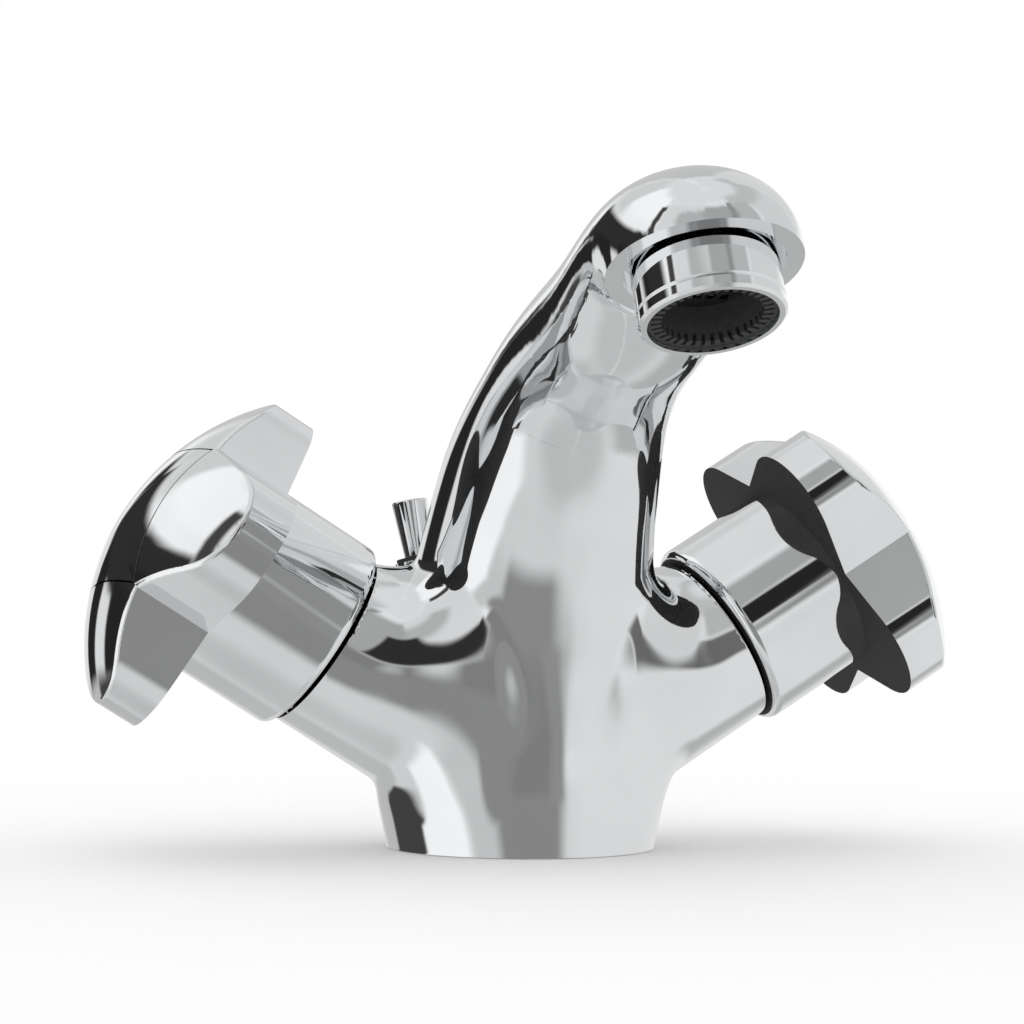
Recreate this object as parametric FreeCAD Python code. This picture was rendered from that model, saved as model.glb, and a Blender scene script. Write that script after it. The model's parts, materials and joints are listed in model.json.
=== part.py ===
import FreeCAD, Part
import math
import os

# Basin mixer tap with two star handles, an arched spout and a pop-up waste rod
# Millimetres and degrees; +Z up, the spout points to -Y, origin at the centre of the foot's underside
# The left handle is at -X and the right handle at +X

# Shared small sizes
OVERRUN = 1.0
RUNNING_GAP = 0.05
SEAT_GAP = 0.1
TOUCH = 0.01
LAPPED_GAP = 0.02

# Foot and spout
FOOT_RADIUS = 26.0
SPOUT_REACH = 100.3
OUTLET_HEIGHT = 95.15
OUTLET_TILT = 24.0
RIM_RADIUS = 16.8
RIM_LIFT = 10.0

# Spout stations: forward and height as shares of the rim's place, lean from upright in degrees,
# half width and half depth as shares of the foot's radius
SPOUT_STATION_SHARES = [
    (0.000, 0.000, 0.0, 1.000, 1.000),
    (0.000, 0.050, 0.0, 1.045, 1.010),
    (0.002, 0.110, 1.0, 1.085, 1.015),
    (0.008, 0.200, 4.0, 1.010, 0.990),
    (0.022, 0.316, 9.0, 0.950, 0.945),
    (0.085, 0.520, 22.0, 0.852, 0.800),
    (0.184, 0.688, 32.0, 0.772, 0.708),
    (0.346, 0.834, 48.0, 0.684, 0.612),
    (0.484, 0.902, 62.0, 0.640, 0.552),
    (0.666, 0.964, 78.0, 0.622, 0.510),
    (0.825, 1.031, 100.0, 0.630, 0.492),
    (0.938, 1.043, 129.8, 0.645, 0.600),
]

# Arms: the axis rises from the middle of the body
# Sections as shares: place along the arm, then upper half height, lower half height and half depth
# The root's are shares of the foot's radius, the outer ones of the arm's end radius
ARM_ROOT_HEIGHT = 15.24
ARM_RISE = 32.0
ARM_END = 46.9
ARM_END_RADIUS = 17.4
ARM_ROOT_SHARES = [
    (0.15, 1.037, 0.669, 0.870),
    (0.45, 1.084, 0.669, 0.883),
]
ARM_OUTER_SHARES = [
    (0.73, 1.52, 1.00, 1.22),
    (0.88, 1.17, 1.00, 1.08),
    (1.00, 1.00, 1.00, 1.00),
]
ARM_BLEND = 4.0
COLLAR_RADIUS = 15.5
COLLAR_LENGTH = 4.1

# Valve cavity in each arm, measured along the arm's axis
SEAT_DEPTH = 22.9
THREAD_RADIUS = 10.4
CHAMBER_RADIUS = 12.2
CHAMBER_START = 17.9
CHAMBER_LENGTH = 7.0
FLANGE_DEPTH = 2.9
FLANGE_RADIUS = 13.6
GASKET_THICKNESS = 1.0
GASKET_RADIUS = 12.0

# Headwork, its discs and its spindle
SEAT_SEAL_THICKNESS = 1.6
SEAT_SEAL_RADIUS = 9.5
SEAT_SEAL_BORE = 5.5
DISC_RADIUS = 8.5
DISC_THICKNESS = 3.2
DISC_BORE_SHARE = 0.52
CUP_RADIUS = 8.7
WINDOW_HEIGHT = 4.5
WINDOW_WIDTH = 8.0
FLANGE_THICKNESS = 2.5
HEX_FLATS = 22.0
HEX_LENGTH = 6.5
NECK_RADIUS = 8.0
NECK_LENGTH = 4.5
SPINDLE_RADIUS = 4.0
DRIVER_THICKNESS = 3.0
DRIVER_RADIUS = 8.2
SPINDLE_TOP = 31.1
SPLINE_GROOVES = 12
SPLINE_DEPTH = 0.35
RING_WIRE = 0.55
RING_PLACE = 4.0
CLIP_THICKNESS = 0.9
CLIP_RADIUS = 5.6
CLIP_GROOVE = 0.6
CLIP_MOUTH = 4.0

# Handle sleeve and star head, measured along the arm's axis from the arm's end face
SEAM_GAP = 1.0
SLEEVE_RADIUS = 19.5
SLEEVE_BORE = 16.2
SLEEVE_EDGE = 1.6
HEAD_BASE = 23.4
HEAD_TOP = 45.4
DOME_RADIUS = 48.0
LOBE_DEPTH = 37.4
WING_REACH = 33.6
WING_END_RADIUS = 12.0
VALLEY_RADIUS = 21.7
HEAD_EDGE = 1.2
SLEEVE_FLOOR = 4.3
HUB_RADIUS = 7.5
HUB_LENGTH = 4.0
LEFT_WING_TURN = 10.0
RIGHT_WING_TURN = 48.0

# Cap and screw in the head
CAP_HALF = 14.6
CAP_GAP = 0.3
CAP_SEAT = 37.2
SCREW_HEAD_RADIUS = 4.4
SCREW_HEAD_LENGTH = 3.0
SCREW_RADIUS = 2.45
SCREW_LENGTH = 12.0
SCREW_WEB = 1.8
SCREW_SLOT_WIDTH = 1.2
SCREW_SLOT_DEPTH = 1.2

# Waterways
INLET_X = 7.5
INLET_Y = -8.0
INLET_RADIUS = 5.0
INLET_LENGTH = 12.0
INLET_DUCT_RADIUS = 3.4
CROSS_DUCT_RADIUS = 3.8
SPOUT_BORE_RADIUS = 6.0
SPOUT_BORE_FIRST = 5
STUD_X = 8.5
STUD_Y = 7.5
STUD_RADIUS = 4.0
STUD_LENGTH = 14.0

# Foot seal
SEAL_OUTER = 24.2
SEAL_INNER = 21.8
SEAL_THICKNESS = 1.6

# Aerator, measured from the outlet face back along the outlet's axis
AERATOR_RADIUS = 12.5
AERATOR_OPENING = 11.05
AERATOR_EDGE = 0.5
AERATOR_GROOVE_PLACE = 2.4
AERATOR_GROOVE = 0.35
AERATOR_THREAD_RADIUS = 11.9
AERATOR_LENGTH = 14.0
AERATOR_COLLAR = 10.6
RECESS_RADIUS = 13.8
RECESS_DEPTH = 2.0
WASHER_THICKNESS = 1.5
WASHER_BORE = 8.5
INSERT_DEPTH = 0.9
INSERT_LENGTH = 6.5
INSERT_TEETH = 36
INSERT_TOOTH_DEPTH = 0.7
INSERT_TOOTH_LENGTH = 1.5
INSERT_OPENING = 8.6
MESH_THICKNESS = 0.6
MESH_PITCH = 2.4
MESH_HOLE = 1.5
MESH_RINGS = 3

# Pop-up waste rod
ROD_FOOT_RADIUS = 11.8
ROD_BEARING = 137.3
ROD_LEAN = 10.9
ROD_RADIUS = 2.0
ROD_START = 1.5
BOSS_RADIUS = 4.9
BOSS_TOP = 55.3
BOSS_LENGTH = 14.0
BUSH_RADIUS = 3.1
BUSH_LENGTH = 16.0
BUSH_FLANGE = 0.8
BUSH_FLANGE_RADIUS = 4.4
KNOB_TOP_RADIUS = 3.65
KNOB_FOOT_RADIUS = 2.75
KNOB_LENGTH = 11.4
KNOB_EDGE = 0.4
KNOB_SOCKET = 7.0

ORIGIN = FreeCAD.Vector(0, 0, 0)
X_AXIS = FreeCAD.Vector(1, 0, 0)
Y_AXIS = FreeCAD.Vector(0, 1, 0)
Z_AXIS = FreeCAD.Vector(0, 0, 1)

LEFT = -1
RIGHT = 1


def sine(degrees):
    return math.sin(math.radians(degrees))


def cosine(degrees):
    return math.cos(math.radians(degrees))


def frame_matrix(place, x_axis, z_axis):
    # Moves a shape modelled about +Z onto the given place, with its own X turned to x_axis
    y_axis = z_axis.cross(x_axis)
    return FreeCAD.Matrix(
        x_axis.x, y_axis.x, z_axis.x, place.x,
        x_axis.y, y_axis.y, z_axis.y, place.y,
        x_axis.z, y_axis.z, z_axis.z, place.z,
        0, 0, 0, 1)


def placed(shape, matrix):
    moved = shape.copy()
    moved.Placement = FreeCAD.Placement(matrix)
    return moved


def cylinder(radius, low, high):
    return Part.makeCylinder(radius, high - low, FreeCAD.Vector(0, 0, low), Z_AXIS)


def tube(outer, inner, low, high):
    return cylinder(outer, low, high).cut(cylinder(inner, low - OVERRUN, high + OVERRUN))


def revolved(points):
    # A closed profile of (radius, height) points turned about +Z
    corners = [FreeCAD.Vector(radius, 0, height) for radius, height in points]
    face = Part.Face(Part.makePolygon(corners + corners[:1]))
    return face.revolve(ORIGIN, Z_AXIS, 360)


def ellipse_wire(centre, first_axis, second_axis, first_half, second_half):
    # A unit circle stretched along the two axes, so that every section starts at the same side
    first = first_axis * first_half
    second = second_axis * second_half
    normal = first_axis.cross(second_axis)
    stretch = FreeCAD.Matrix(
        first.x, second.x, normal.x, centre.x,
        first.y, second.y, normal.y, centre.y,
        first.z, second.z, normal.z, centre.z,
        0, 0, 0, 1)
    return Part.Wire(Part.Circle(ORIGIN, Z_AXIS, 1).toShape().transformGeometry(stretch).Edges)


# Spout
def rim_centre():
    forward = SPOUT_REACH - RIM_LIFT * sine(OUTLET_TILT)
    height = OUTLET_HEIGHT + RIM_LIFT * cosine(OUTLET_TILT)
    return forward, height


def spout_stations():
    # Each station: centre, normal in the plane of the arch, half width, half depth
    rim_forward, rim_height = rim_centre()
    stations = []
    for forward_share, height_share, lean, width_share, depth_share in SPOUT_STATION_SHARES:
        centre = FreeCAD.Vector(0, -forward_share * rim_forward, height_share * rim_height)
        normal = FreeCAD.Vector(0, cosine(lean), sine(lean))
        stations.append((centre, normal, width_share * FOOT_RADIUS, depth_share * FOOT_RADIUS))
    lean = 180 - OUTLET_TILT
    rim = FreeCAD.Vector(0, -rim_forward, rim_height)
    normal = FreeCAD.Vector(0, cosine(lean), sine(lean))
    stations.append((rim, normal, RIM_RADIUS, RIM_RADIUS))
    return stations


def spout_horn():
    wires = []
    for centre, normal, half_width, half_depth in spout_stations():
        wires.append(ellipse_wire(centre, X_AXIS, normal, half_width, half_depth))
    return Part.makeLoft(wires, True, False)


def spout_bore():
    wires = []
    for centre, normal, half_width, half_depth in spout_stations()[SPOUT_BORE_FIRST:]:
        wires.append(ellipse_wire(centre, X_AXIS, normal, SPOUT_BORE_RADIUS, SPOUT_BORE_RADIUS))
    return Part.makeLoft(wires, True, False)


def outlet_matrix():
    # +Z of the aerator's own frame runs back into the spout
    inward = FreeCAD.Vector(0, sine(OUTLET_TILT), cosine(OUTLET_TILT))
    return frame_matrix(FreeCAD.Vector(0, -SPOUT_REACH, OUTLET_HEIGHT), X_AXIS, inward)


# Arms
def arm_axis(side):
    return FreeCAD.Vector(side * cosine(ARM_RISE), 0, sine(ARM_RISE))


def arm_up(side):
    return FreeCAD.Vector(-side * sine(ARM_RISE), 0, cosine(ARM_RISE))


def arm_root():
    return FreeCAD.Vector(0, 0, ARM_ROOT_HEIGHT)


def arm_matrix(side, start=0):
    # +Z of the arm's own frame runs outwards along its axis, +X points to the upper side
    return frame_matrix(arm_root() + arm_axis(side) * start, arm_up(side), arm_axis(side))


def arm_solid(side):
    stations = [(FOOT_RADIUS, shares) for shares in ARM_ROOT_SHARES]
    stations += [(ARM_END_RADIUS, shares) for shares in ARM_OUTER_SHARES]
    wires = []
    for size, (place_share, top_share, bottom_share, depth_share) in stations:
        top = top_share * size
        bottom = bottom_share * size
        centre = arm_root() + arm_axis(side) * (place_share * ARM_END) + arm_up(side) * ((top - bottom) / 2)
        wires.append(ellipse_wire(centre, arm_up(side), Y_AXIS, (top + bottom) / 2, depth_share * size))
    return Part.makeLoft(wires, True, False)


# Pop-up waste rod
def rod_direction():
    flat = FreeCAD.Vector(cosine(ROD_BEARING), sine(ROD_BEARING), 0)
    return flat * sine(ROD_LEAN) + Z_AXIS * cosine(ROD_LEAN)


def rod_matrix():
    foot = FreeCAD.Vector(cosine(ROD_BEARING), sine(ROD_BEARING), 0) * ROD_FOOT_RADIUS
    across = rod_direction().cross(Y_AXIS)
    across.normalize()
    return frame_matrix(foot, across, rod_direction())


def boss_top():
    # Distance along the rod from the foot plane to the top of its boss
    return BOSS_TOP / cosine(ROD_LEAN)


def duct(start, end, radius):
    run = end - start
    return Part.makeCylinder(radius, run.Length, start, run)


def seat_point(side):
    return arm_root() + arm_axis(side) * (ARM_END - SEAT_DEPTH)


def valve_cavity(side):
    # Measured along the arm's axis from its end face, which is height zero here
    thread = THREAD_RADIUS + RUNNING_GAP
    cavity = cylinder(thread, -SEAT_DEPTH, OVERRUN)
    chamber_low = -CHAMBER_START
    cavity = cavity.fuse(cylinder(CHAMBER_RADIUS, chamber_low, chamber_low + CHAMBER_LENGTH))
    cavity = cavity.fuse(cylinder(GASKET_RADIUS + SEAT_GAP, -FLANGE_DEPTH - GASKET_THICKNESS, OVERRUN))
    flange = FLANGE_RADIUS + SEAT_GAP
    cavity = cavity.fuse(cylinder(flange, -FLANGE_DEPTH, COLLAR_LENGTH + OVERRUN))
    return placed(cavity, arm_matrix(side, ARM_END))


def arm_ducts(side):
    inlet = FreeCAD.Vector(side * INLET_X, INLET_Y, INLET_LENGTH - INLET_RADIUS / 2)
    seat = seat_point(side)
    chamber_middle = arm_root() + arm_axis(side) * (ARM_END - CHAMBER_START + CHAMBER_LENGTH / 2)
    mixing = spout_stations()[SPOUT_BORE_FIRST][0] + Z_AXIS * SPOUT_BORE_RADIUS
    socket = Part.makeCylinder(INLET_RADIUS, INLET_LENGTH + OVERRUN,
                               FreeCAD.Vector(side * INLET_X, INLET_Y, -OVERRUN), Z_AXIS)
    ducts = socket.fuse(duct(inlet, seat + arm_axis(side) * OVERRUN, INLET_DUCT_RADIUS))
    return ducts.fuse(duct(chamber_middle, mixing, CROSS_DUCT_RADIUS))


def aerator_socket():
    thread_top = AERATOR_LENGTH + WASHER_THICKNESS
    socket = cylinder(AERATOR_THREAD_RADIUS + RUNNING_GAP, RIM_LIFT - OVERRUN, thread_top)
    socket = socket.fuse(cylinder(RECESS_RADIUS, RIM_LIFT - OVERRUN, RIM_LIFT + RECESS_DEPTH))
    return placed(socket, outlet_matrix())


def rod_passage():
    hole = cylinder(ROD_RADIUS + SEAT_GAP + RUNNING_GAP, -OVERRUN, boss_top() + OVERRUN)
    bush_low = boss_top() - BUSH_LENGTH
    hole = hole.fuse(cylinder(BUSH_RADIUS + RUNNING_GAP, bush_low, boss_top() + OVERRUN))
    return placed(hole, rod_matrix())


def lies_on(edge, shape):
    middle = edge.valueAt((edge.FirstParameter + edge.LastParameter) / 2)
    return Part.Vertex(middle).distToShape(shape.Shells[0])[0] < TOUCH


def blended_body():
    # Spout and arms in one, with a fillet along the lines where they meet
    pieces = [spout_horn(), arm_solid(LEFT), arm_solid(RIGHT)]
    body = pieces[0].fuse(pieces[1:])
    seams = [edge for edge in body.Edges if sum(lies_on(edge, piece) for piece in pieces) > 1]
    return body.makeFillet(ARM_BLEND, seams)


def body_casting():
    body = blended_body()
    for side in (LEFT, RIGHT):
        collar = cylinder(COLLAR_RADIUS, -COLLAR_LENGTH, COLLAR_LENGTH)
        body = body.fuse(placed(collar, arm_matrix(side, ARM_END)))
    body = body.fuse(placed(cylinder(BOSS_RADIUS, boss_top() - BOSS_LENGTH, boss_top()), rod_matrix()))
    tools = [spout_bore(), aerator_socket(), rod_passage()]
    for side in (LEFT, RIGHT):
        tools.append(valve_cavity(side))
        tools.append(arm_ducts(side))
    tools.append(Part.makeCylinder(STUD_RADIUS, STUD_LENGTH + OVERRUN,
                                   FreeCAD.Vector(STUD_X, STUD_Y, -OVERRUN), Z_AXIS))
    tools.append(tube(SEAL_OUTER + SEAT_GAP, SEAL_INNER - SEAT_GAP, -OVERRUN, SEAL_THICKNESS))
    return body.cut(tools)


def base_seal():
    return tube(SEAL_OUTER, SEAL_INNER, 0, SEAL_THICKNESS)


# Headwork pieces, modelled about +Z with height zero at the arm's end face
def seat_seal():
    low = -SEAT_DEPTH
    return tube(SEAT_SEAL_RADIUS, SEAT_SEAL_BORE, low, low + SEAT_SEAL_THICKNESS)


def disc_low():
    return SEAT_SEAL_THICKNESS - SEAT_DEPTH


def half_opening(low, high):
    # A half-round water way through a disc
    bore = cylinder(DISC_BORE_SHARE * DISC_RADIUS, low - OVERRUN, high + OVERRUN)
    half = Part.makeBox(2 * DISC_RADIUS, DISC_RADIUS, high - low + 2 * OVERRUN,
                        FreeCAD.Vector(-DISC_RADIUS, 0, low - OVERRUN))
    return bore.common(half)


def fixed_disc():
    low = disc_low()
    return cylinder(DISC_RADIUS, low, low + DISC_THICKNESS).cut(half_opening(low, low + DISC_THICKNESS))


def moving_disc():
    low = disc_low() + DISC_THICKNESS + LAPPED_GAP
    high = driver_low()
    opening = half_opening(low, high)
    opening.rotate(ORIGIN, Z_AXIS, 180)
    return cylinder(DISC_RADIUS - SEAT_GAP, low, high).cut(opening)


def driver_low():
    return disc_low() + 2 * DISC_THICKNESS


def neck_top():
    return HEX_LENGTH + NECK_LENGTH - FLANGE_DEPTH + FLANGE_THICKNESS


def headwork_housing():
    cup_low = disc_low() + SEAT_GAP
    cup_top = driver_low() + DRIVER_THICKNESS + SEAT_GAP
    flange_top = FLANGE_THICKNESS - FLANGE_DEPTH
    hex_top = flange_top + HEX_LENGTH
    housing = cylinder(THREAD_RADIUS, cup_low, -FLANGE_DEPTH)
    housing = housing.fuse(cylinder(FLANGE_RADIUS, -FLANGE_DEPTH, flange_top))
    housing = housing.fuse(hex_prism(HEX_FLATS, flange_top, hex_top))
    housing = housing.fuse(cylinder(NECK_RADIUS, hex_top, neck_top()))
    housing = housing.cut(cylinder(CUP_RADIUS, cup_low - OVERRUN, cup_top))
    housing = housing.cut(cylinder(SPINDLE_RADIUS + RUNNING_GAP, cup_top - OVERRUN, neck_top() + OVERRUN))
    window_low = cup_top - WINDOW_HEIGHT
    window = Part.makeBox(4 * CUP_RADIUS, WINDOW_WIDTH, WINDOW_HEIGHT,
                          FreeCAD.Vector(-2 * CUP_RADIUS, -WINDOW_WIDTH / 2, window_low))
    return housing.cut(window)


def hex_prism(flats, low, high):
    corner = flats / 2 / cosine(30)
    points = []
    for step in range(7):
        points.append(FreeCAD.Vector(corner * cosine(60 * step), corner * sine(60 * step), low))
    return Part.Face(Part.makePolygon(points)).extrude(FreeCAD.Vector(0, 0, high - low))


def headwork_gasket():
    return tube(GASKET_RADIUS, THREAD_RADIUS + RUNNING_GAP, -FLANGE_DEPTH - GASKET_THICKNESS, -FLANGE_DEPTH)


def spindle():
    low = driver_low()
    driver_top = low + DRIVER_THICKNESS
    ring_height = neck_top() - RING_PLACE
    clip_low = neck_top() + SEAT_GAP
    body = cylinder(DRIVER_RADIUS, low, driver_top)
    body = body.fuse(cylinder(SPINDLE_RADIUS, low, SPINDLE_TOP))
    ring_groove = tube(SPINDLE_RADIUS + OVERRUN, SPINDLE_RADIUS - 2 * RING_WIRE,
                       ring_height - RING_WIRE - SEAT_GAP, ring_height + RING_WIRE + SEAT_GAP)
    clip_groove = tube(SPINDLE_RADIUS + OVERRUN, SPINDLE_RADIUS - CLIP_GROOVE,
                       clip_low, clip_low + CLIP_THICKNESS + SEAT_GAP)
    body = body.cut(ring_groove).cut(clip_groove)
    for step in range(SPLINE_GROOVES):
        notch = cylinder(SPLINE_DEPTH, SPINDLE_TOP - HUB_LENGTH, SPINDLE_TOP + OVERRUN)
        notch.translate(FreeCAD.Vector(SPINDLE_RADIUS, 0, 0))
        notch.rotate(ORIGIN, Z_AXIS, 360 * step / SPLINE_GROOVES)
        body = body.cut(notch)
    thread_low = CAP_SEAT - SCREW_HEAD_LENGTH - SCREW_LENGTH - SEAT_GAP
    return body.cut(cylinder(SCREW_RADIUS + RUNNING_GAP, thread_low, SPINDLE_TOP + OVERRUN))


def spindle_o_ring():
    mean = SPINDLE_RADIUS - RING_WIRE + RUNNING_GAP / 2
    return Part.makeTorus(mean, RING_WIRE, FreeCAD.Vector(0, 0, neck_top() - RING_PLACE), Z_AXIS)


def retaining_clip():
    low = neck_top() + SEAT_GAP
    clip = tube(CLIP_RADIUS, SPINDLE_RADIUS - CLIP_GROOVE + RUNNING_GAP, low, low + CLIP_THICKNESS)
    mouth = Part.makeBox(2 * CLIP_RADIUS, CLIP_MOUTH, CLIP_THICKNESS + 2 * OVERRUN,
                         FreeCAD.Vector(0, -CLIP_MOUTH / 2, low - OVERRUN))
    return clip.cut(mouth)


# Star head
def turned(x, y, height, angle):
    return FreeCAD.Vector(x * cosine(angle) - y * sine(angle), x * sine(angle) + y * cosine(angle), height)


def wing_shoulder():
    # Where a side wall that starts in the valley meets the round end of the wing without a corner
    valley = VALLEY_RADIUS * cosine(45)
    end_centre = WING_REACH - WING_END_RADIUS
    reach = math.hypot(valley - end_centre, valley)
    angle = math.atan2(valley, valley - end_centre) - math.acos(WING_END_RADIUS / reach)
    return end_centre + WING_END_RADIUS * math.cos(angle), WING_END_RADIUS * math.sin(angle)


def bar_wire(height):
    # Two opposite wings: straight sides that meet wide at the middle, and round ends
    valley = VALLEY_RADIUS * cosine(45)
    shoulder_x, shoulder_y = wing_shoulder()
    middle_y = valley + (valley - shoulder_y) / (shoulder_x - valley) * valley
    edges = []
    for angle in (0, 180):
        low_middle = turned(0, -middle_y, height, angle)
        low_shoulder = turned(shoulder_x, -shoulder_y, height, angle)
        tip = turned(WING_REACH, 0, height, angle)
        high_shoulder = turned(shoulder_x, shoulder_y, height, angle)
        high_middle = turned(0, middle_y, height, angle)
        edges.append(Part.LineSegment(low_middle, low_shoulder).toShape())
        edges.append(Part.Arc(low_shoulder, tip, high_shoulder).toShape())
        edges.append(Part.LineSegment(high_shoulder, high_middle).toShape())
    return Part.Wire(edges)


def head_lobe():
    # A long lobe over two opposite wings: the crown's arc turned about a line below it
    low = HEAD_TOP - LOBE_DEPTH
    centre_height = HEAD_TOP - DOME_RADIUS
    half = WING_REACH + OVERRUN
    end_height = centre_height + math.sqrt(DOME_RADIUS ** 2 - half ** 2)
    crown = Part.Arc(FreeCAD.Vector(-half, 0, end_height), FreeCAD.Vector(0, 0, HEAD_TOP),
                     FreeCAD.Vector(half, 0, end_height)).toShape()
    sides = Part.makePolygon([FreeCAD.Vector(half, 0, end_height), FreeCAD.Vector(half, 0, low),
                              FreeCAD.Vector(-half, 0, low), FreeCAD.Vector(-half, 0, end_height)])
    face = Part.Face(Part.Wire([crown] + sides.Edges))
    lobe = face.revolve(FreeCAD.Vector(0, 0, low), X_AXIS, 360)
    lobe.rotate(FreeCAD.Vector(0, 0, low), X_AXIS, 180)
    return lobe


def wing_pair():
    prism = Part.Face(bar_wire(HEAD_BASE)).extrude(FreeCAD.Vector(0, 0, HEAD_TOP + OVERRUN - HEAD_BASE))
    pair = prism.common(head_lobe())
    crown = [face for face in pair.Faces if face.Surface.TypeId == "Part::GeomSurfaceOfRevolution"]
    return pair.makeFillet(HEAD_EDGE, [edge for face in crown for edge in face.OuterWire.Edges])


def star_head():
    # The two wing pairs cross, with creases that run from the valleys to the middle
    pair = wing_pair()
    crossing = pair.copy()
    crossing.rotate(ORIGIN, Z_AXIS, 90)
    return pair.fuse(crossing)


def cap_prism(gap, low, high):
    half = CAP_HALF + gap
    return Part.makeBox(2 * half, 2 * half, high - low, FreeCAD.Vector(-half, -half, low))


def handle_casting():
    sleeve = cylinder(SLEEVE_RADIUS, SEAM_GAP, HEAD_BASE + OVERRUN)
    rim = [edge for edge in sleeve.Edges if abs(edge.CenterOfMass.z - SEAM_GAP) < RUNNING_GAP]
    sleeve = sleeve.makeFillet(SLEEVE_EDGE, rim)
    floor = HEAD_BASE - SLEEVE_FLOOR
    screw_floor = CAP_SEAT - SCREW_HEAD_LENGTH
    handle = star_head().fuse(sleeve)
    handle = handle.cut(cylinder(SLEEVE_BORE, SEAM_GAP - OVERRUN, floor))
    handle = handle.fuse(cylinder(HUB_RADIUS, floor - HUB_LENGTH, floor + OVERRUN))
    handle = handle.cut(cylinder(SPINDLE_RADIUS + RUNNING_GAP, floor - HUB_LENGTH - OVERRUN,
                                 screw_floor - SCREW_WEB))
    handle = handle.cut(cylinder(SCREW_RADIUS + SEAT_GAP, floor, CAP_SEAT + OVERRUN))
    handle = handle.cut(cylinder(SCREW_HEAD_RADIUS + SEAT_GAP, screw_floor, CAP_SEAT + OVERRUN))
    return handle.cut(cap_prism(CAP_GAP, CAP_SEAT, HEAD_TOP + OVERRUN))


def handle_cap():
    return star_head().common(cap_prism(0, CAP_SEAT, HEAD_TOP + OVERRUN))


def handle_screw():
    head_low = CAP_SEAT - SCREW_HEAD_LENGTH
    head_top = CAP_SEAT - SEAT_GAP
    screw = cylinder(SCREW_HEAD_RADIUS, head_low, head_top)
    screw = screw.fuse(cylinder(SCREW_RADIUS, head_low - SCREW_LENGTH, head_top))
    slot = Part.makeBox(4 * SCREW_HEAD_RADIUS, SCREW_SLOT_WIDTH, SCREW_SLOT_DEPTH + OVERRUN,
                        FreeCAD.Vector(-2 * SCREW_HEAD_RADIUS, -SCREW_SLOT_WIDTH / 2, head_top - SCREW_SLOT_DEPTH))
    return screw.cut(slot)


# Aerator pieces, modelled about +Z with height zero at the outlet face
def aerator_housing():
    profile = [
        (AERATOR_OPENING, 0),
        (AERATOR_RADIUS - AERATOR_EDGE, 0),
        (AERATOR_RADIUS, AERATOR_EDGE),
        (AERATOR_RADIUS, AERATOR_GROOVE_PLACE - AERATOR_GROOVE),
        (AERATOR_RADIUS - AERATOR_GROOVE, AERATOR_GROOVE_PLACE),
        (AERATOR_RADIUS, AERATOR_GROOVE_PLACE + AERATOR_GROOVE),
        (AERATOR_RADIUS, AERATOR_COLLAR),
        (AERATOR_THREAD_RADIUS, AERATOR_COLLAR),
        (AERATOR_THREAD_RADIUS, AERATOR_LENGTH),
        (AERATOR_OPENING, AERATOR_LENGTH),
    ]
    return revolved(profile)


def aerator_insert():
    radius = AERATOR_OPENING - RUNNING_GAP
    low = INSERT_DEPTH
    insert = tube(radius, INSERT_OPENING, low, low + INSERT_LENGTH)
    for step in range(INSERT_TEETH):
        notch = Part.makeBox(radius, INSERT_TOOTH_DEPTH, INSERT_TOOTH_LENGTH + OVERRUN,
                             FreeCAD.Vector(INSERT_OPENING - OVERRUN, -INSERT_TOOTH_DEPTH / 2, low - OVERRUN))
        notch = notch.common(cylinder(radius - INSERT_TOOTH_DEPTH, low - OVERRUN, low + INSERT_TOOTH_LENGTH))
        notch.rotate(ORIGIN, Z_AXIS, 360 * step / INSERT_TEETH)
        insert = insert.cut(notch)
    return insert


def aerator_mesh():
    low = INSERT_DEPTH + INSERT_LENGTH
    plate = cylinder(AERATOR_OPENING - RUNNING_GAP, low, low + MESH_THICKNESS)
    holes = []
    for row in range(-MESH_RINGS, MESH_RINGS + 1):
        for column in range(-MESH_RINGS, MESH_RINGS + 1):
            x = column * MESH_PITCH
            y = row * MESH_PITCH
            if math.hypot(x, y) < INSERT_OPENING - MESH_HOLE:
                holes.append(Part.makeBox(MESH_HOLE, MESH_HOLE, MESH_THICKNESS + 2 * OVERRUN,
                                          FreeCAD.Vector(x - MESH_HOLE / 2, y - MESH_HOLE / 2, low - OVERRUN)))
    return plate.cut(holes)


def aerator_washer():
    return tube(AERATOR_THREAD_RADIUS, WASHER_BORE, AERATOR_LENGTH, AERATOR_LENGTH + WASHER_THICKNESS)


# Rod pieces, modelled about +Z with height zero at the foot plane
def rod_bush():
    top = boss_top()
    bush = cylinder(BUSH_RADIUS, top - BUSH_LENGTH, top)
    bush = bush.fuse(cylinder(BUSH_FLANGE_RADIUS, top, top + BUSH_FLANGE))
    return bush.cut(cylinder(ROD_RADIUS + RUNNING_GAP, top - BUSH_LENGTH - OVERRUN, top + BUSH_FLANGE + OVERRUN))


def knob_low():
    return boss_top() + BUSH_FLANGE


def lift_rod():
    return cylinder(ROD_RADIUS, ROD_START, knob_low() + KNOB_SOCKET)


def lift_knob():
    low = knob_low()
    knob = Part.makeCone(KNOB_FOOT_RADIUS, KNOB_TOP_RADIUS, KNOB_LENGTH, FreeCAD.Vector(0, 0, low), Z_AXIS)
    rims = [edge for edge in knob.Edges if edge.Closed]
    knob = knob.makeFillet(KNOB_EDGE, rims)
    return knob.cut(cylinder(ROD_RADIUS + RUNNING_GAP, low - OVERRUN, low + KNOB_SOCKET))


def save(name, shape):
    shape = shape.removeSplitter()
    solids = len(shape.Solids)
    print(name, "valid", shape.isValid(), "solids", solids, "volume", round(shape.Volume, 1))
    shape.exportStep(os.path.join("parts", name + ".step"))


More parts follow.
